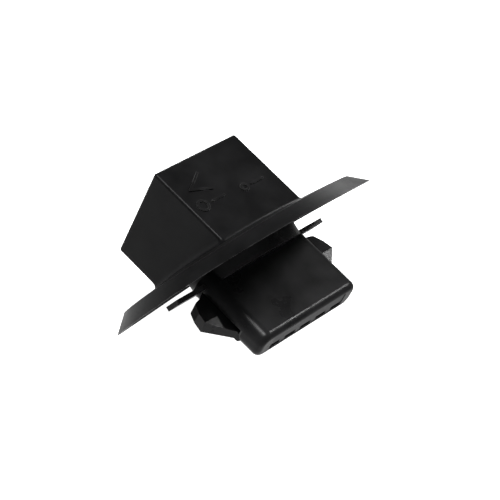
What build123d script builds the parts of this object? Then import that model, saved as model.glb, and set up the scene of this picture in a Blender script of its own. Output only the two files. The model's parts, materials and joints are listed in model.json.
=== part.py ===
from build123d import *
from math import cos, radians, sin
import os

# Plug-in relay with a spring flange, moulded in black plastic.
# Frame: the origin is the centre of the flange's seat, on the long axis of the relay.
# Y runs out of the top of the relay box, away from the plug. Z is up through the marked face.
# The flange leans over: its seat is turned about X from square to the long axis.
os.makedirs("parts", exist_ok=True)

# ---- box that covers the relay ----
box_width = 28.0
box_depth = 26.9
box_top = 23.6
box_wall = 1.2
box_edge_radius = 0.7
box_root_radius = 1.6

# ---- dished flange ----
flange_tilt = 20.0
rim_radius = 34.6
knee_radius = 30.4
knee_height = 3.8
crown_mid_radius = 16.0
crown_mid_height = 5.1
crown_height = 5.6
flange_wall = 1.1
rim_seat_width = 1.3
rim_bow_turn = -45.0
rim_bow_low = 0.25
rim_bow_high = 2.5

# ---- raised marks on the marked face ----
mark_height = 0.3
mark_line = 0.55

# ---- hub and bayonet lugs under the flange ----
hub_flange_radius = 17.4
hub_flange_top = 3.4
hub_flange_bottom = 1.9
hub_radius = 14.2
lug_top = -0.55
lug_bottom = -1.75
lug_reach = 25.8
lug_half_width = 2.6
lug_corner_radius = 0.6
pedestal_top = 3.3
screw_x = 10.4
screw_offset = 5.5
screw_boss_radius = 1.9
screw_boss_top = 10.2
screw_hole_radius = 0.8
screw_radius = 0.78
screw_head_radius = 1.8
screw_head_height = 1.5
screw_tip = 8.8
screw_recess_depth = 0.7

# ---- plug nose ----
nose_width = 34.6
nose_depth = 7.5
nose_corner_radius = 3.0
nose_end = -21.2
nose_end_radius = 1.5
shroud_half_width = 13.2
shroud_half_depth = 2.2
shroud_corner_radius = 0.6
carrier_top = -6.5
carrier_recess = 0.15

# ---- snap latches on the short sides of the nose ----
latch_back = -3.0
latch_front = 0.3
latch_bevel = 1.3
latch_gap = 0.25
latch_arm_outer = 17.2
latch_arm_inner = 15.9
latch_pivot_y = -14.9
latch_pivot_radius = 0.65
latch_free_end = -2.7
barb_reach = 23.0
barb_tip_y = -8.8
barb_side_reach = 22.4
barb_side_y = -6.1
barb_top_reach = 21.2
barb_top_y = -3.6
barb_top_radius = 1.0
pocket_floor = 14.3

# ---- openings between the cover and the plug ----
well_half_width = 7.8
well_half_length = 10.8

# ---- terminals ----
blade_pitch = 5.6
blade_thickness = 0.8
blade_half_width = 1.7
blade_tip = -20.2
blade_z = -1.3
blade_root = -9.0
blade_slot_gap = 0.2
blade_slot_floor = -11.5
stem_half_width = 0.9
coil_post_x = 6.8
coil_jog_y = 1.0
strip_thickness = 0.6
coil_post_top = 7.6
common_post_z = 10.2
common_post_half_width = 1.8
common_post_thickness = 0.3
arm_half_width = 1.4
terminal_clearance = 0.02

# ---- relay base, magnet and coil ----
base_half_width = 7.4
base_half_length = 10.4
base_bottom = 3.4
base_top = 5.0
steel = 1.2
yoke_half_width = 4.6
yoke_back = -10.2
yoke_front = 1.6
pole_face_y = 18.6
core_z = -3.3
core_radius = 2.1
core_tail_radius = 1.5
pole_radius = 3.3
pole_thickness = 0.85
bobbin_radius = 5.4
bobbin_flange = 0.8
bobbin_bottom = 6.3
bobbin_top = 17.7
bobbin_tube_radius = 2.8
winding_radius = 5.0
wrap_thickness = 0.13
coil_lead_radius = 0.15

# ---- armature and contacts ----
armature_opening = 4.2
armature_gap = 0.05
armature_thickness = 1.1
armature_half_width = 4.2
armature_length = 12.0
armature_heel = 0.8
spring_thickness = 0.2
spring_half_width = 1.8
spring_gap = 0.14
pusher_half_width = 2.4
pusher_reach = 13.9
pusher_half_thickness = 0.6
pusher_gap = 0.1
pusher_plate = 1.0
rivet_hole_radius = 0.6
rivet_radius = 0.58
rivet_head_radius = 1.1
rivet_head_height = 0.4
leaf_y = 14.0
leaf_thickness = 0.3
leaf_half_width = 2.0
leaf_pivot_z = 9.8
leaf_tip_z = 3.3
contact_z = 6.4
contact_radius = 0.9
contact_shank_radius = 0.5
closed_contact_height = 1.0
open_contact_height = 0.6
moving_contact_half_height = 0.8
contact_gap = 0.05
open_contact_gap = 0.78

box_half_width = box_width / 2
box_half_depth = box_depth / 2
nose_half_width = nose_width / 2

# The seat plane stands square to the flange: its normal points to the box side.
seat_normal = (0, cos(radians(flange_tilt)), sin(radians(flange_tilt)))
seat = Plane(origin=(0, 0, 0), x_dir=(1, 0, 0), z_dir=seat_normal)
seat_section = Plane(origin=(0, 0, 0), x_dir=(1, 0, 0), z_dir=-seat.y_dir)
seat_axis = Axis((0, 0, 0), seat_normal)


def across(y):
    """Plane square to the long axis at height y, with Z as its own second axis."""
    return Plane.XZ.offset(-y)


def block(x_range, y_range, z_range, mode=Mode.ADD):
    """Box between the two limits given for each axis."""
    ranges = (x_range, y_range, z_range)
    middle = [(low + high) / 2 for low, high in ranges]
    sizes = [high - low for low, high in ranges]
    with Locations(tuple(middle)):
        Box(*sizes, mode=mode)


def crown_line():
    """Upper line of the flange, from the rim to the axis."""
    Line((rim_radius, 0), (knee_radius, knee_height))
    ThreePointArc((knee_radius, knee_height), (crown_mid_radius, crown_mid_height), (0, crown_height))


# ---------------------------------------------------------------- cover
# Everything below the top of the flange, used to end the box walls on the flange.
with BuildPart() as under_crown:
    with BuildSketch(seat_section):
        with BuildLine():
            crown_line()
            Polyline((0, crown_height), (0, -rim_radius), (rim_radius, -rim_radius), (rim_radius, 0))
        make_face()
    revolve(axis=seat_axis)

# The dished flange on its own.
with BuildPart() as flange_shell:
    with BuildSketch(seat_section):
        with BuildLine():
            crown_line()
            Polyline(
                (0, crown_height),
                (0, crown_height - flange_wall),
            )
            ThreePointArc(
                (0, crown_height - flange_wall),
                (crown_mid_radius, crown_mid_height - flange_wall),
                (knee_radius - 0.5, knee_height - flange_wall),
            )
            Polyline(
                (knee_radius - 0.5, knee_height - flange_wall),
                (rim_radius - rim_seat_width, 0),
                (rim_radius, 0),
            )
        make_face()
    revolve(axis=seat_axis)


# The rim follows a bowed panel: it is low at two opposite places and higher between them.
rim_bow_mean = (rim_bow_low + rim_bow_high) / 2
rim_bow_slope = (rim_bow_high - rim_bow_low) / (2 * rim_radius)
rim_bow_radius = rim_radius**2 / (2 * rim_bow_mean)
bow_along = seat.x_dir.rotate(seat_axis, rim_bow_turn + 90) + seat.z_dir * rim_bow_slope
bow_section = Plane(
    origin=seat.z_dir * (rim_bow_mean - rim_bow_radius),
    x_dir=seat.x_dir.rotate(seat_axis, rim_bow_turn),
    z_dir=bow_along,
)
with BuildPart() as bowed_panel:
    with BuildSketch(bow_section):
        Circle(rim_bow_radius)
    extrude(amount=2 * rim_radius, both=True)


def is_box_root(edge):
    """True for the edges where the outside of the box meets the top of the flange."""
    middle = edge.center()
    height = middle.Y * seat_normal[1] + middle.Z * seat_normal[2]
    beside_box = abs(abs(middle.X) - box_half_width) < 0.3 or abs(abs(middle.Z) - box_half_depth) < 0.3
    return beside_box and crown_mid_height - 1.0 < height < crown_height


def screw_places():
    """Places of the two cover screws on the seat plane."""
    return Locations((-screw_x, screw_offset), (screw_x, -screw_offset))


with BuildPart() as cover:
    with BuildSketch(across(box_top)):
        Rectangle(box_width, box_depth)
    extrude(amount=box_top + 6)
    with BuildSketch(across(box_top - box_wall)):
        Rectangle(box_width - 2 * box_wall, box_depth - 2 * box_wall)
    extrude(amount=box_top + 6, mode=Mode.SUBTRACT)
    outer_long_edges = cover.edges().filter_by(Axis.Y).group_by(lambda e: abs(e.center().X))[-1]
    top_edges = cover.faces().sort_by(Axis.Y)[-1].edges()
    fillet(outer_long_edges + top_edges, radius=box_edge_radius)
    add(under_crown.part, mode=Mode.SUBTRACT)
    add(flange_shell.part)
    root_edges = cover.edges().filter_by(is_box_root)
    fillet(root_edges, radius=box_root_radius)
    add(bowed_panel.part, mode=Mode.SUBTRACT)
    # Screw bosses stand on the flange inside the box.
    boss_foot = crown_height - flange_wall
    with BuildSketch(seat.offset(boss_foot)):
        with screw_places():
            Circle(screw_boss_radius)
    extrude(amount=screw_boss_top - boss_foot)
    # Opening over the relay base, and the screw holes.
    well = (-well_half_width, well_half_width)
    well_length = (-well_half_length, well_half_length)
    block(well, (-6, 12), well_length, Mode.SUBTRACT)
    with BuildSketch(seat):
        with screw_places():
            Circle(screw_hole_radius)
    extrude(amount=screw_boss_top - 0.8, mode=Mode.SUBTRACT)
    # Raised marks: an open arrow head, a bar and a ring.
    with BuildSketch(Plane.XY.offset(box_half_depth)):
        with BuildLine() as arrow:
            Polyline((-4.2, 18.8), (-9.9, 15.5), (-4.3, 13.4))
        trace(arrow.line, line_width=mark_line)
        with Locations((-5.2, 10.6), (7.6, 9.9)):
            RectangleRounded(4.4, mark_line, radius=mark_line * 0.45)
        with Locations((-10.4, 10.6)):
            Circle(1.7)
            Circle(1.7 - mark_line, mode=Mode.SUBTRACT)
        with Locations((3.2, 9.9)):
            Circle(1.2)
            Circle(1.2 - mark_line, mode=Mode.SUBTRACT)
    extrude(amount=mark_height)
cover.part.label = "cover"
export_step(cover.part, "parts/cover.step")

# ---------------------------------------------------------------- terminals
terminal_x = {
    "coil_start": -2 * blade_pitch,
    "normally_open": -blade_pitch,
    "common": 0.0,
    "normally_closed": blade_pitch,
    "coil_end": 2 * blade_pitch,
}


def terminal_blade(name, grow=0.0):
    """Blade in the nose and its stem up to the relay base; the coil's stems step inwards."""
    x = terminal_x[name]
    half = blade_thickness / 2 + grow
    stem = stem_half_width + grow
    wide = blade_half_width + grow
    flat = (blade_z - half, blade_z + half)
    block((x - wide, x + wide), (blade_tip - grow, blade_root), flat)
    block((x - half, x + half), (blade_root - 1.5, carrier_top), (blade_z - half, stem))
    if name in ("coil_start", "coil_end"):
        side = 1 if x > 0 else -1
        post = side * coil_post_x
        jog = sorted((x + side * half, post - side * half))
        block((x - half, x + half), (carrier_top, coil_jog_y + half), (-stem, stem))
        block(jog, (coil_jog_y - half, coil_jog_y + half), (-stem, stem))
        block((post - half, post + half), (coil_jog_y - half, coil_post_top + grow), (-stem, stem))
        return
    block((x - half, x + half), (carrier_top, base_bottom + grow), (-stem, stem))


def terminal_strip(name, grow=0.0):
    """Flat strip under the relay base, from the stem to the contact post."""
    x = terminal_x[name]
    half = blade_thickness / 2 + grow
    level = (base_bottom - grow, base_bottom + strip_thickness + grow)
    if name == "common":
        block((x - half, x + half), level, (-stem_half_width - grow, common_post_z + grow))
        return
    block((x - half, x + half), level, (-stem_half_width - grow, contact_z + arm_half_width + grow))


def contact_post(side, arm_bottom):
    """Post beside the contacts with a flat arm across to the middle of the leaf."""
    post = sorted((side * (blade_pitch - strip_thickness / 2), side * (blade_pitch + strip_thickness / 2)))
    reach = sorted((post[0] if side < 0 else post[1], -side * arm_half_width))
    depth = (contact_z - arm_half_width, contact_z + arm_half_width)
    block(post, (base_bottom, arm_bottom + strip_thickness), depth)
    block(reach, (arm_bottom, arm_bottom + strip_thickness), depth)


closed_arm_bottom = leaf_y + moving_contact_half_height + contact_gap + closed_contact_height
open_arm_top = leaf_y - moving_contact_half_height - open_contact_gap - open_contact_height

with BuildPart() as terminal_space:
    for terminal in terminal_x:
        terminal_blade(terminal, grow=terminal_clearance)
    for terminal in ("common", "normally_open", "normally_closed"):
        terminal_strip(terminal, grow=terminal_clearance)

for terminal in terminal_x:
    with BuildPart() as blade:
        terminal_blade(terminal)
        tip_edges = blade.faces().sort_by(Axis.Y)[0].edges().filter_by(Axis.X)
        chamfer(tip_edges, length=0.25)
    blade.part.label = "terminal_" + terminal
    export_step(blade.part, "parts/terminal_" + terminal + ".step")

with BuildPart() as common_post:
    terminal_strip("common")
    block(
        (-common_post_half_width, common_post_half_width),
        (base_bottom, leaf_y + 1.2),
        (common_post_z - common_post_thickness, common_post_z),
    )
common_post.part.label = "common_post"
export_step(common_post.part, "parts/common_post.step")

with BuildPart() as closed_contact_arm:
    terminal_strip("normally_closed")
    contact_post(1, closed_arm_bottom)
closed_contact_arm.part.label = "closed_contact_arm"
export_step(closed_contact_arm.part, "parts/closed_contact_arm.step")

with BuildPart() as open_contact_arm:
    terminal_strip("normally_open")
    contact_post(-1, open_arm_top - strip_thickness)
open_contact_arm.part.label = "open_contact_arm"
export_step(open_contact_arm.part, "parts/open_contact_arm.step")

# ---------------------------------------------------------------- plug body
with BuildPart() as plug_body:
    # Hub: a wide flange up in the dish, and the barrel that passes through the panel.
    with BuildSketch(seat.offset(lug_bottom)):
        Circle(hub_radius)
    extrude(amount=hub_flange_top - lug_bottom)
    with BuildSketch(seat.offset(hub_flange_bottom)):
        Circle(hub_flange_radius)
    extrude(amount=hub_flange_top - hub_flange_bottom)
    # Bayonet lugs, parallel to the flange.
    with BuildSketch(seat.offset(lug_bottom)):
        RectangleRounded(2 * lug_reach, 2 * lug_half_width, radius=lug_corner_radius)
    extrude(amount=lug_top - lug_bottom)
    # Pedestal under the relay base.
    pedestal_width = (-well_half_width + 0.3, well_half_width - 0.3)
    block(pedestal_width, (lug_bottom, pedestal_top), (0, well_half_length - 0.3))
    # Nose.
    with BuildSketch(across(0)):
        RectangleRounded(nose_width, nose_depth, radius=nose_corner_radius)
    extrude(amount=-nose_end)
    end_edges = plug_body.faces().sort_by(Axis.Y)[0].edges()
    fillet(end_edges, radius=nose_end_radius)
    # Hollow of the nose.
    with BuildSketch(across(nose_end)):
        RectangleRounded(2 * shroud_half_width, 2 * shroud_half_depth, radius=shroud_corner_radius)
    extrude(amount=nose_end - carrier_top, mode=Mode.SUBTRACT)
    # Well for the relay base where the leaning hub stands above the pedestal.
    block(well, (pedestal_top, 12), well_length, Mode.SUBTRACT)
    # Passages for the terminals and clearance for the cover screws.
    add(terminal_space.part, mode=Mode.SUBTRACT)
    with BuildSketch(seat.offset(lug_bottom - 0.2)):
        with screw_places():
            Circle(screw_radius + 0.3)
    extrude(amount=hub_flange_top - lug_bottom + 1.2, mode=Mode.SUBTRACT)
    with BuildSketch(seat.offset(lug_bottom - 0.2)):
        with screw_places():
            Circle(screw_head_radius + 0.3)
    extrude(amount=hub_flange_bottom - lug_bottom + 0.2, mode=Mode.SUBTRACT)
    # Side pockets for the latches, with a rounded seat at the foot.
    for side in (-1, 1):
        pocket = sorted((side * pocket_floor, side * (nose_half_width + 1)))
        pocket_depth = (latch_back - latch_gap, latch_front + latch_gap)
        block(pocket, (latch_pivot_y, latch_free_end + 0.5), pocket_depth, Mode.SUBTRACT)
        with BuildSketch(Plane.XY.offset(pocket_depth[0])):
            with Locations((side * (latch_arm_outer - latch_pivot_radius), latch_pivot_y)):
                Circle(latch_pivot_radius + 0.1)
        extrude(amount=pocket_depth[1] - pocket_depth[0], mode=Mode.SUBTRACT)
plug_body.part.label = "plug_body"
export_step(plug_body.part, "parts/plug_body.step")

# ---------------------------------------------------------------- snap latches
for side, latch_name in ((-1, "latch_left"), (1, "latch_right")):
    pivot_x = side * (latch_arm_outer - latch_pivot_radius)
    with BuildPart() as latch:
        with BuildSketch(Plane.XY.offset(latch_back)):
            with BuildLine():
                Polyline(
                    (side * latch_arm_inner, latch_pivot_y),
                    (side * latch_arm_inner, latch_free_end),
                    (side * latch_arm_outer, latch_free_end),
                    (side * barb_top_reach, barb_top_y),
                    (side * barb_side_reach, barb_side_y),
                    (side * barb_reach, barb_tip_y),
                    (side * latch_arm_outer, latch_pivot_y + 0.7),
                    (side * latch_arm_outer, latch_pivot_y),
                    (side * latch_arm_inner, latch_pivot_y),
                )
            make_face()
            with Locations((pivot_x, latch_pivot_y)):
                Circle(latch_pivot_radius)
        extrude(amount=latch_front - latch_back)
        upright_edges = latch.edges().filter_by(Axis.Z)
        outer_top = upright_edges.sort_by_distance((side * barb_top_reach, barb_top_y, 0))[0]
        fillet(outer_top, radius=barb_top_radius)
        # Lead-in bevel on the marked side, from the tip of the barb down to its foot.
        with BuildSketch(Plane.YZ):
            with BuildLine():
                Polyline(
                    (barb_tip_y, latch_front),
                    (latch_pivot_y - latch_pivot_radius - 0.1, latch_front - latch_bevel),
                    (latch_pivot_y - latch_pivot_radius - 0.1, latch_front + 1),
                    (barb_tip_y, latch_front + 1),
                    (barb_tip_y, latch_front),
                )
            make_face()
        extrude(amount=side * (barb_reach + 1), mode=Mode.SUBTRACT)
    latch.part.label = latch_name
    export_step(latch.part, "parts/" + latch_name + ".step")

# ---------------------------------------------------------------- terminal carrier and hub gasket
with BuildPart() as terminal_carrier:
    carrier_fit = 0.05
    with BuildSketch(across(nose_end + carrier_recess)):
        RectangleRounded(
            2 * (shroud_half_width - carrier_fit),
            2 * (shroud_half_depth - carrier_fit),
            radius=shroud_corner_radius,
        )
    extrude(amount=nose_end + carrier_recess - carrier_top)
    # Each blade stands in its own slot, open at the end of the nose.
    slot_half = blade_half_width + blade_slot_gap
    slot_depth = blade_thickness / 2 + blade_slot_gap
    with BuildSketch(across(nose_end)):
        with Locations((0, blade_z)):
            with GridLocations(blade_pitch, 1, len(terminal_x), 1):
                Rectangle(2 * slot_half, 2 * slot_depth)
    extrude(amount=nose_end - blade_slot_floor, mode=Mode.SUBTRACT)
    add(terminal_space.part, mode=Mode.SUBTRACT)
terminal_carrier.part.label = "terminal_carrier"
export_step(terminal_carrier.part, "parts/terminal_carrier.step")

with BuildPart() as hub_gasket:
    with BuildSketch(seat.offset(hub_flange_top + 0.01)):
        Circle(hub_flange_radius - 0.3)
        Circle(14.6, mode=Mode.SUBTRACT)
    extrude(amount=0.4)
hub_gasket.part.label = "hub_gasket"
export_step(hub_gasket.part, "parts/hub_gasket.step")

with BuildPart() as cover_screws:
    screw_head = seat.offset(hub_flange_bottom - screw_head_height)
    with BuildSketch(screw_head):
        with screw_places():
            Circle(screw_head_radius)
    extrude(amount=screw_head_height - 0.02)
    with BuildSketch(screw_head):
        with screw_places():
            Circle(screw_radius)
    extrude(amount=screw_tip - hub_flange_bottom + screw_head_height)
    # Cross recess.
    with BuildSketch(screw_head):
        with screw_places():
            Rectangle(2.2, 0.45)
            Rectangle(0.45, 2.2)
    extrude(amount=screw_recess_depth, mode=Mode.SUBTRACT)
cover_screws.part.label = "cover_screws"
export_step(cover_screws.part, "parts/cover_screws.step")

# ---------------------------------------------------------------- relay base
with BuildPart() as relay_base:
    base_rest = pedestal_top + terminal_clearance
    block(
        (-base_half_width, base_half_width),
        (base_rest, base_top),
        (-base_half_length, base_half_length),
    )
    base_long_edges = relay_base.edges().filter_by(Axis.Y)
    fillet(base_long_edges, radius=0.8)
    # Barrier between the coil and the contacts.
    block((-4.6, 4.6), (base_top, 12.4), (2.4, 2.9))
    # Locating rails on both sides of the yoke foot.
    block((-5.5, -4.7), (base_top, base_top + 1.0), (-9.4, -5.0))
    block((4.7, 5.5), (base_top, base_top + 1.0), (-9.4, -5.0))
    add(terminal_space.part, mode=Mode.SUBTRACT)
    for side in (-1, 1):
        post_half = strip_thickness / 2 + terminal_clearance
        arm_half = arm_half_width + terminal_clearance
        slot = sorted((side * (blade_pitch - post_half), side * (blade_pitch + post_half)))
        block(slot, (0, 8), (contact_z - arm_half, contact_z + arm_half), Mode.SUBTRACT)
    common_slot = common_post_half_width + terminal_clearance
    common_back = common_post_z - common_post_thickness - terminal_clearance
    block((-common_slot, common_slot), (0, 8), (common_back, base_half_length + 1), Mode.SUBTRACT)
relay_base.part.label = "relay_base"
export_step(relay_base.part, "parts/relay_base.step")

# ---------------------------------------------------------------- magnet and coil
yoke_foot = base_top + 0.05
with BuildPart() as yoke:
    block((-yoke_half_width, yoke_half_width), (yoke_foot, yoke_foot + steel), (yoke_back, yoke_front))
    block((-yoke_half_width, yoke_half_width), (yoke_foot, pole_face_y), (yoke_back, yoke_back + steel))
    heel_bend = yoke.edges().filter_by(Axis.X).sort_by_distance((0, yoke_foot, yoke_back))[0]
    fillet(heel_bend, radius=1.0)
    with BuildSketch(across(pole_face_y)):
        with Locations((0, core_z)):
            Circle(core_tail_radius)
    extrude(amount=pole_face_y, mode=Mode.SUBTRACT)
yoke.part.label = "yoke"
export_step(yoke.part, "parts/yoke.step")

with BuildPart() as core:
    with BuildSketch(across(pole_face_y)):
        with Locations((0, core_z)):
            Circle(pole_radius)
    extrude(amount=pole_thickness)
    with BuildSketch(across(pole_face_y - pole_thickness)):
        with Locations((0, core_z)):
            Circle(core_radius)
    extrude(amount=pole_face_y - pole_thickness - yoke_foot - steel)
    with BuildSketch(across(yoke_foot + steel)):
        with Locations((0, core_z)):
            Circle(core_tail_radius)
    extrude(amount=steel)
core.part.label = "core"
export_step(core.part, "parts/core.step")

with BuildPart() as bobbin:
    for flange_y in (bobbin_top, bobbin_bottom + bobbin_flange):
        with BuildSketch(across(flange_y)):
            with Locations((0, core_z)):
                Circle(bobbin_radius)
        extrude(amount=bobbin_flange)
    with BuildSketch(across(bobbin_top)):
        with Locations((0, core_z)):
            Circle(bobbin_tube_radius)
    extrude(amount=bobbin_top - bobbin_bottom)
    with BuildSketch(across(bobbin_top)):
        with Locations((0, core_z)):
            Circle(core_radius + 0.03)
    extrude(amount=bobbin_top - bobbin_bottom, mode=Mode.SUBTRACT)
bobbin.part.label = "bobbin"
export_step(bobbin.part, "parts/bobbin.step")


def coil_tube(name, outer, inner):
    """Tube round the core, between the bobbin's two flanges."""
    length = bobbin_top - bobbin_bottom - 2 * bobbin_flange - 0.1
    with BuildPart() as tube:
        with BuildSketch(across(bobbin_top - bobbin_flange - 0.05)):
            with Locations((0, core_z)):
                Circle(outer)
                Circle(inner, mode=Mode.SUBTRACT)
        extrude(amount=length)
    tube.part.label = name
    export_step(tube.part, "parts/" + name + ".step")


coil_tube("coil_winding", winding_radius, bobbin_tube_radius + 0.02)
coil_tube("coil_wrap", winding_radius + 0.02 + wrap_thickness, winding_radius + 0.02)

# Coil leads from the lower flange of the bobbin to the coil posts.
for side, lead_name in ((-1, "coil_lead_start"), (1, "coil_lead_end")):
    lead_y = bobbin_bottom + bobbin_flange + 0.35
    lead_points = [
        (side * 3.6, lead_y, core_z + 3.9),
        (side * 5.2, lead_y + 0.2, core_z + 3.9),
        (side * (coil_post_x - blade_thickness / 2 - 0.25), lead_y - 0.3, 0.0),
    ]
    with BuildPart() as lead:
        with BuildLine() as lead_line:
            FilletPolyline(*lead_points, radius=0.6)
        with BuildSketch(Plane(origin=lead_line.line @ 0, z_dir=lead_line.line % 0)):
            Circle(coil_lead_radius)
        sweep()
    lead.part.label = lead_name
    export_step(lead.part, "parts/" + lead_name + ".step")

# ---------------------------------------------------------------- armature
# The armature turns about the outer top edge of the yoke and stands open at rest.
opening = radians(armature_opening)
armature_plane = Plane(
    origin=(0, pole_face_y + armature_gap, yoke_back),
    x_dir=(1, 0, 0),
    z_dir=(0, cos(opening), -sin(opening)),
)


def armature_block(x_range, along, above):
    """Box in the armature's own plane: along runs from the hinge, above from its lower face."""
    with BuildSketch(armature_plane.offset(above[0])) as footprint:
        with Locations(((x_range[0] + x_range[1]) / 2, -(along[0] + along[1]) / 2)):
            Rectangle(x_range[1] - x_range[0], along[1] - along[0])
    extrude(footprint.sketch, amount=above[1] - above[0])


rivet_places = [(-2.4, -8.6), (2.4, -8.6)]
with BuildPart() as armature:
    armature_block(
        (-armature_half_width, armature_half_width),
        (-armature_heel, armature_length),
        (0, armature_thickness),
    )
    with BuildSketch(armature_plane):
        with Locations(*rivet_places):
            Circle(rivet_hole_radius)
    extrude(amount=armature_thickness, mode=Mode.SUBTRACT)
armature.part.label = "armature"
export_step(armature.part, "parts/armature.step")

# The foot of the pusher stands just above the leaf while the armature is open.
hinge_y = pole_face_y + armature_gap
pusher_near = pusher_reach - pusher_half_thickness
pusher_drop = leaf_y + leaf_thickness / 2 + pusher_gap - hinge_y - pusher_near * sin(opening)
pusher_foot = pusher_drop / cos(opening)
with BuildPart() as pusher:
    top = (armature_thickness + 0.02, armature_thickness + pusher_plate)
    armature_block((-3.6, 3.6), (7.2, armature_length + 1.4), top)
    armature_block(
        (-pusher_half_width, pusher_half_width),
        (pusher_near, pusher_reach + pusher_half_thickness),
        (pusher_foot, top[1]),
    )
    armature_block((-pusher_half_width, pusher_half_width), (12.5, pusher_reach), top)
    with BuildSketch(armature_plane):
        with Locations(*rivet_places):
            Circle(rivet_hole_radius)
    extrude(amount=5, mode=Mode.SUBTRACT)
pusher.part.label = "pusher"
export_step(pusher.part, "parts/pusher.step")

with BuildPart() as pusher_rivets:
    with BuildSketch(armature_plane):
        with Locations(*rivet_places):
            Circle(rivet_radius)
    extrude(amount=armature_thickness + pusher_plate)
    with BuildSketch(armature_plane.offset(armature_thickness + pusher_plate)):
        with Locations(*rivet_places):
            Circle(rivet_head_radius)
    extrude(amount=rivet_head_height)
pusher_rivets.part.label = "pusher_rivets"
export_step(pusher_rivets.part, "parts/pusher_rivets.step")

# Retaining spring: a bent strip on the back of the yoke whose top holds the armature's heel.
with BuildPart() as armature_spring:
    with BuildSketch(Plane.YZ):
        with BuildLine() as spring_line:
            FilletPolyline(
                (base_top + 1.5, yoke_back - spring_gap),
                (pole_face_y - 1.3, yoke_back - spring_gap),
                (pole_face_y - 0.8, yoke_back - armature_heel - 0.5),
                (hinge_y + armature_thickness + 0.6, yoke_back - armature_heel - 0.5),
                (hinge_y + armature_thickness + 0.6, yoke_back - armature_heel + 0.5),
                radius=0.25,
            )
        trace(spring_line.line, line_width=spring_thickness)
    extrude(amount=spring_half_width, both=True)
armature_spring.part.label = "armature_spring"
export_step(armature_spring.part, "parts/armature_spring.step")

# ---------------------------------------------------------------- contacts
with BuildPart() as contact_leaf:
    leaf = (leaf_y - leaf_thickness / 2, leaf_y + leaf_thickness / 2)
    block((-leaf_half_width, leaf_half_width), leaf, (leaf_tip_z, leaf_pivot_z))
    with BuildSketch(across(leaf[1])):
        with Locations((0, contact_z)):
            Circle(contact_shank_radius)
    extrude(amount=leaf_thickness, mode=Mode.SUBTRACT)
contact_leaf.part.label = "contact_leaf"
export_step(contact_leaf.part, "parts/contact_leaf.step")


def contact_disc(top, bottom, radius):
    """Short round piece on the line of the contacts."""
    with BuildSketch(across(top)) as disc:
        with Locations((0, contact_z)):
            Circle(radius)
    extrude(disc.sketch, amount=top - bottom)


with BuildPart() as moving_contact:
    contact_disc(leaf_y + moving_contact_half_height, leaf[1], contact_radius)
    contact_disc(leaf[1], leaf[0], contact_shank_radius)
    contact_disc(leaf[0], leaf_y - moving_contact_half_height, contact_radius)
moving_contact.part.label = "moving_contact"
export_step(moving_contact.part, "parts/moving_contact.step")

with BuildPart() as closed_contact:
    contact_disc(closed_arm_bottom, closed_arm_bottom - closed_contact_height, contact_radius)
closed_contact.part.label = "closed_contact"
export_step(closed_contact.part, "parts/closed_contact.step")

with BuildPart() as open_contact:
    contact_disc(open_arm_top + open_contact_height, open_arm_top, contact_radius)
open_contact.part.label = "open_contact"
export_step(open_contact.part, "parts/open_contact.step")
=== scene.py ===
"""Looks of the plug-in relay: camera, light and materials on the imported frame."""
import json
import math

import bmesh
import bpy
from mathutils import Matrix, Vector


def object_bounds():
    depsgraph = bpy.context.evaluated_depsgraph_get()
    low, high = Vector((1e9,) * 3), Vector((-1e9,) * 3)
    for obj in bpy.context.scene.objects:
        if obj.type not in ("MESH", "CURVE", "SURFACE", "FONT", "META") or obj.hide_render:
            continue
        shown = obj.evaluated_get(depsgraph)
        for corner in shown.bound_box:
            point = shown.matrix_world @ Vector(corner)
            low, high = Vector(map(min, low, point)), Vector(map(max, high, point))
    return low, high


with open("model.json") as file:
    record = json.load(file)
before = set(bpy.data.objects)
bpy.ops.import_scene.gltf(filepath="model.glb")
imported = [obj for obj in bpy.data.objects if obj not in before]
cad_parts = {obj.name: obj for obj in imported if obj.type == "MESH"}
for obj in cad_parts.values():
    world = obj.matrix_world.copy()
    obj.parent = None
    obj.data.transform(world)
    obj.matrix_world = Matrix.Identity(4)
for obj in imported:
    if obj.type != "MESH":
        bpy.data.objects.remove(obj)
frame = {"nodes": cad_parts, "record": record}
cad_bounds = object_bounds()
nodes = frame["nodes"]

MM = 0.001
FLOOR_GAP = 0.0003          # between the relay's lowest point and the floor
FLOOR_REACH = 3.0
FLOOR_GLOW = 1.05
GLOW_BELOW = 0.95           # glow that reflections find well under the horizon
GLOW_ABOVE = 0.2            # glow of the room above the horizon


# ---------------------------------------------------------------- camera
CAMERA_AZIMUTH = -66.7      # degrees round Z, 0 looks along +Y
CAMERA_ELEVATION = 43.1
CAMERA_ROLL = 28.2          # turn of the camera about its own line of sight
CAMERA_DISTANCE = 0.4414
CAMERA_TARGET = Vector((1.55, 0.54, 1.77)) * MM
CAMERA_LENS = 136.8         # mm on a 36 mm sensor


def make_camera():
    """Long lens, rolled so that the flange runs up to the right."""
    azimuth = math.radians(CAMERA_AZIMUTH)
    elevation = math.radians(CAMERA_ELEVATION)
    back = Vector((
        math.sin(azimuth) * math.cos(elevation),
        -math.cos(azimuth) * math.cos(elevation),
        math.sin(elevation),
    ))
    data = bpy.data.cameras.new("camera")
    data.lens = CAMERA_LENS
    data.sensor_width = 36.0
    data.clip_start = 0.01
    data.clip_end = 20.0
    camera = bpy.data.objects.new("camera", data)
    upright = back.to_track_quat("Z", "Y").to_matrix().to_4x4()
    roll = Matrix.Rotation(math.radians(CAMERA_ROLL), 4, "Z")
    camera.matrix_world = Matrix.Translation(CAMERA_TARGET + back * CAMERA_DISTANCE) @ upright @ roll
    bpy.context.collection.objects.link(camera)
    bpy.context.scene.camera = camera


make_camera()


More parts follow.
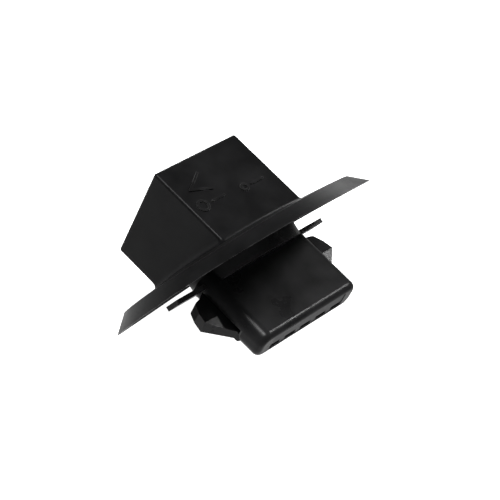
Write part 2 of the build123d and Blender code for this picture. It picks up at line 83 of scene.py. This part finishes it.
# ---------------------------------------------------------------- light and floor
def make_floor(height):
    """Pale sheet, lit from inside so that it stays even, and left out of reflections."""
    mesh = bpy.data.meshes.new("floor")
    sheet = bmesh.new()
    bmesh.ops.create_grid(sheet, x_segments=2, y_segments=2, size=FLOOR_REACH)
    sheet.to_mesh(mesh)
    sheet.free()
    floor = bpy.data.objects.new("floor", mesh)
    floor.location.z = height
    bpy.context.collection.objects.link(floor)
    material = bpy.data.materials.new("floor")
    material.use_nodes = True
    shader = material.node_tree.nodes["Principled BSDF"]
    shader.inputs["Base Color"].default_value = (0.8, 0.8, 0.8, 1)
    shader.inputs["Roughness"].default_value = 0.95
    shader.inputs["Emission Color"].default_value = (1, 1, 1, 1)
    shader.inputs["Emission Strength"].default_value = FLOOR_GLOW
    floor.data.materials.append(material)
    floor.visible_glossy = False


def area_light(name, toward, distance, size, power):
    """Soft light of the given size in metres and power in watts, in that direction."""
    direction = Vector(toward).normalized()
    data = bpy.data.lights.new(name, "AREA")
    data.shape = "RECTANGLE"
    data.size = size[0]
    data.size_y = size[1]
    data.energy = power
    light = bpy.data.objects.new(name, data)
    light.location = CAMERA_TARGET + direction * distance
    light.rotation_euler = direction.to_track_quat("Z", "Y").to_euler()
    bpy.context.collection.objects.link(light)


def make_room():
    """Even grey room that grows paler towards the ground, for reflections to find."""
    world = bpy.data.worlds.new("studio")
    world.use_nodes = True
    tree = world.node_tree
    background = tree.nodes["Background"]
    background.inputs["Color"].default_value = (1, 1, 1, 1)
    direction = tree.nodes.new("ShaderNodeTexCoord")
    height = tree.nodes.new("ShaderNodeSeparateXYZ")
    fade = tree.nodes.new("ShaderNodeMapRange")
    fade.inputs["From Min"].default_value = -0.75
    fade.inputs["From Max"].default_value = -0.1
    fade.inputs["To Min"].default_value = GLOW_BELOW
    fade.inputs["To Max"].default_value = GLOW_ABOVE
    tree.links.new(direction.outputs["Generated"], height.inputs["Vector"])
    tree.links.new(height.outputs["Z"], fade.inputs["Value"])
    tree.links.new(fade.outputs["Result"], background.inputs["Strength"])
    bpy.context.scene.world = world


def make_lights():
    """Soft boxes overhead, to the right and low behind."""
    area_light("overhead", (-0.26, 0.29, 0.93), 0.6, (0.08, 0.3), 4.0)
    area_light("right", (0.68, -0.06, 0.71), 0.45, (0.07, 0.05), 0.9)
    area_light("low_right", (0.667, -0.36, 0.62), 0.5, (0.05, 0.05), 0.05)
    area_light("low_back", (0.79, 0.6, 0.04), 0.35, (0.16, 0.04), 0.17)


make_floor(cad_bounds[0][2] - FLOOR_GAP)
make_room()
make_lights()
bpy.context.scene.view_settings.view_transform = "Standard"


# ---------------------------------------------------------------- material parts
class Surface:
    """Node material with helpers; patterns use object coordinates in metres."""

    def __init__(self, name):
        self.material = bpy.data.materials.new(name)
        self.material.use_nodes = True
        self.tree = self.material.node_tree
        self.shader = self.tree.nodes["Principled BSDF"]
        coordinates = self.tree.nodes.new("ShaderNodeTexCoord")
        self.position = coordinates.outputs["Object"]

    def node(self, kind, **settings):
        node = self.tree.nodes.new(kind)
        for key, value in settings.items():
            setattr(node, key, value)
        return node

    def link(self, source, target):
        self.tree.links.new(source, target)

    def set(self, socket, value):
        self.shader.inputs[socket].default_value = value

    def stretched(self, factors):
        """Position scaled by a factor on each axis, for drawn or brushed patterns."""
        mapping = self.node("ShaderNodeMapping")
        mapping.inputs["Scale"].default_value = factors
        self.link(self.position, mapping.inputs["Vector"])
        return mapping.outputs["Vector"]

    def noise(self, size, detail=4.0, rough=0.55, vector=None):
        """Noise with features of about the given size in metres."""
        noise = self.node("ShaderNodeTexNoise")
        noise.inputs["Scale"].default_value = 1.0 / size
        noise.inputs["Detail"].default_value = detail
        noise.inputs["Roughness"].default_value = rough
        self.link(vector or self.position, noise.inputs["Vector"])
        return noise.outputs["Fac"]

    def ramp(self, source, low, high, out_low=0.0, out_high=1.0):
        """Straight remap, held at both ends."""
        remap = self.node("ShaderNodeMapRange")
        remap.inputs["From Min"].default_value = low
        remap.inputs["From Max"].default_value = high
        remap.inputs["To Min"].default_value = out_low
        remap.inputs["To Max"].default_value = out_high
        self.link(source, remap.inputs["Value"])
        return remap.outputs["Result"]

    def maths(self, operation, first, second):
        node = self.node("ShaderNodeMath", operation=operation)
        for socket, value in zip(node.inputs, (first, second)):
            if isinstance(value, (int, float)):
                socket.default_value = value
            else:
                self.link(value, socket)
        return node.outputs[0]

    def blend(self, amount, first, second):
        """Colour that goes from the first to the second as amount goes from 0 to 1."""
        mix = self.node("ShaderNodeMix", data_type="RGBA")
        self.link(amount, mix.inputs[0])
        for socket, value in ((mix.inputs[6], first), (mix.inputs[7], second)):
            if isinstance(value, tuple):
                socket.default_value = (*value, 1)
            else:
                self.link(value, socket)
        return mix.outputs[2]

    def edges(self, radius):
        """1 on outer and inner edges, 0 on flat surfaces."""
        bevel = self.node("ShaderNodeBevel", samples=6)
        bevel.inputs["Radius"].default_value = radius
        geometry = self.node("ShaderNodeNewGeometry")
        dot = self.node("ShaderNodeVectorMath", operation="DOT_PRODUCT")
        self.link(bevel.outputs["Normal"], dot.inputs[0])
        self.link(geometry.outputs["Normal"], dot.inputs[1])
        return self.ramp(dot.outputs["Value"], 0.995, 0.9)

    def bumps(self, *layers):
        """Layers of (height, depth in metres), stacked into the shader's normal."""
        normal = None
        for height, depth in layers:
            bump = self.node("ShaderNodeBump")
            bump.inputs["Distance"].default_value = depth
            self.link(height, bump.inputs["Height"])
            if normal is not None:
                self.link(normal, bump.inputs["Normal"])
            normal = bump.outputs["Normal"]
        self.link(normal, self.shader.inputs["Normal"])


def moulded(name, colour, roughness, ior=1.3, wave=0.0, edge_wear_and_highlight=(0.06, 0.06, 0.06)):
    """Moulded plastic: fine grain, flow marks, faint dust, and lighter edges that are partly rubbed
    wear and partly a painted edge highlight.
    """
    s = Surface(name)
    cloud = s.noise(0.009, 3.0)
    speck = s.noise(0.0004, 2.0)
    flow = s.noise(0.003, 1.0, 0.5, s.stretched((1.0, 0.25, 1.0)))
    lighter = tuple(min(1.0, c * 1.5 + 0.002) for c in colour)
    mottled = s.blend(s.ramp(cloud, 0.35, 0.7), colour, lighter)
    # Edges are lightened towards the edge colour: partly rubbed wear, partly a painted highlight
    # along ridges.
    lightened_edges = s.maths("MULTIPLY", s.edges(0.00025), s.ramp(flow, 0.38, 0.62, 0.1, 0.7))
    s.link(s.blend(lightened_edges, mottled, edge_wear_and_highlight), s.shader.inputs["Base Color"])
    patchy = s.ramp(cloud, 0.3, 0.7, roughness - 0.05, roughness + 0.06)
    s.link(s.maths("ADD", patchy, s.ramp(speck, 0.6, 0.75, 0.0, 0.12)), s.shader.inputs["Roughness"])
    s.set("IOR", ior)
    layers = [(s.noise(0.00022, 3.0), 0.000004), (flow, 0.000003)]
    if wave:
        layers.append((s.noise(0.009, 1.0), wave))
    s.bumps(*layers)
    return s.material


def worked_metal(name, colour, dark, roughness, drawn=(1.0, 1.0, 8.0)):
    """Rolled or plated metal: drawn lines, stains and bright edges."""
    s = Surface(name)
    lines = s.noise(0.0012, 5.0, 0.65, s.stretched(drawn))
    stain = s.noise(0.0025, 4.0)
    tone = s.blend(s.ramp(stain, 0.4, 0.72, 0.0, 0.7), colour, dark)
    bright = tuple(min(1.0, c * 1.15) for c in colour)
    lightened_edges = s.maths("MULTIPLY", s.edges(0.00015), 0.8)
    s.link(s.blend(lightened_edges, tone, bright), s.shader.inputs["Base Color"])
    s.link(s.ramp(lines, 0.3, 0.7, roughness - 0.1, roughness + 0.12), s.shader.inputs["Roughness"])
    s.set("Metallic", 1.0)
    s.bumps((lines, 0.000012), (s.noise(0.0002, 2.0), 0.000003))
    return s.material


def wound_wire(name, colour, dark):
    """Enamelled wire laid in turns round the core, painted darker in the grooves between turns as
    painted shade.
    """
    s = Surface(name)
    bands = s.node("ShaderNodeTexWave", wave_type="BANDS", bands_direction="Y", wave_profile="SIN")
    bands.inputs["Scale"].default_value = 1100.0
    bands.inputs["Distortion"].default_value = 1.2
    s.link(s.position, bands.inputs["Vector"])
    turns = bands.outputs["Fac"]
    # The colour goes to the dark colour in the grooves between turns: painted shade.
    s.link(s.blend(turns, dark, colour), s.shader.inputs["Base Color"])
    s.link(s.ramp(turns, 0.0, 1.0, 0.45, 0.24), s.shader.inputs["Roughness"])
    s.set("Metallic", 0.85)
    s.bumps((turns, 0.00008))
    return s.material


def wrapped_tape(name, colour, dark):
    """Thin amber tape with lap lines, over uneven wire."""
    s = Surface(name)
    bands = s.node("ShaderNodeTexWave", wave_type="BANDS", bands_direction="Y", wave_profile="SAW")
    bands.inputs["Scale"].default_value = 90.0
    bands.inputs["Distortion"].default_value = 0.6
    s.link(s.position, bands.inputs["Vector"])
    laps = s.ramp(bands.outputs["Fac"], 0.0, 0.12)
    lumps = s.noise(0.0014, 3.0)
    covered = s.maths("MULTIPLY", laps, s.ramp(lumps, 0.25, 0.6))
    s.link(s.blend(covered, dark, colour), s.shader.inputs["Base Color"])
    s.link(s.ramp(lumps, 0.3, 0.7, 0.2, 0.38), s.shader.inputs["Roughness"])
    s.bumps((laps, 0.00004), (lumps, 0.00005))
    return s.material


def soft_rubber(name, colour):
    """Dull rubber with a dusty bloom and pores."""
    s = Surface(name)
    bloom = s.noise(0.004, 4.0)
    pores = s.noise(0.0003, 2.0)
    dusty = tuple(c + 0.05 for c in colour)
    s.link(s.blend(s.ramp(bloom, 0.45, 0.75, 0.0, 0.6), colour, dusty), s.shader.inputs["Base Color"])
    s.link(s.ramp(bloom, 0.3, 0.7, 0.7, 0.9), s.shader.inputs["Roughness"])
    s.set("Specular IOR Level", 0.25)
    s.bumps((pores, 0.00001), (bloom, 0.00003))
    return s.material


# ---------------------------------------------------------------- materials
# Edge colour of the natural plastics: partly rubbed wear, partly a painted edge highlight.
natural_edge_wear_and_highlight = (0.85, 0.84, 0.8)
slot_materials = {
    "black_plastic": moulded("black_plastic", (0.003, 0.003, 0.0032), 0.36, 1.19),
    "nose_plastic": moulded("nose_plastic", (0.009, 0.009, 0.0094), 0.3, 1.22, 0.0002),
    "carrier_plastic": moulded("carrier_plastic", (0.02, 0.02, 0.021), 0.45),
    "base_plastic": moulded("base_plastic", (0.035, 0.035, 0.037), 0.48),
    "bobbin_plastic": moulded("bobbin_plastic", (0.72, 0.69, 0.6), 0.42, 1.45, 0.0, natural_edge_wear_and_highlight),
    "pusher_plastic": moulded("pusher_plastic", (0.78, 0.75, 0.66), 0.4, 1.45, 0.0, natural_edge_wear_and_highlight),
    "gasket_rubber": soft_rubber("gasket_rubber", (0.02, 0.02, 0.02)),
    "screw_steel": worked_metal("screw_steel", (0.62, 0.62, 0.62), (0.36, 0.35, 0.33), 0.32),
    "magnet_steel": worked_metal(
        "magnet_steel", (0.56, 0.55, 0.53), (0.34, 0.33, 0.31), 0.38, (1.0, 6.0, 1.0),
    ),
    "spring_steel": worked_metal(
        "spring_steel", (0.5, 0.5, 0.51), (0.3, 0.29, 0.29), 0.28, (8.0, 1.0, 1.0),
    ),
    "copper_wire": wound_wire("copper_wire", (0.72, 0.33, 0.16), (0.24, 0.07, 0.03)),
    "coil_tape": wrapped_tape("coil_tape", (0.62, 0.36, 0.06), (0.3, 0.14, 0.02)),
    "spring_bronze": worked_metal(
        "spring_bronze", (0.72, 0.5, 0.28), (0.45, 0.27, 0.13), 0.3, (8.0, 1.0, 1.0),
    ),
    "contact_silver": worked_metal(
        "contact_silver", (0.8, 0.8, 0.79), (0.5, 0.48, 0.45), 0.22, (1.0, 1.0, 1.0),
    ),
    "terminal_brass": worked_metal(
        "terminal_brass", (0.76, 0.57, 0.27), (0.46, 0.31, 0.13), 0.3, (8.0, 1.0, 1.0),
    ),
}
for entry in frame["record"]["subparts"]:
    node = nodes[entry["node"]]
    node.data.materials.clear()
    node.data.materials.append(slot_materials[entry["material_slot"]])
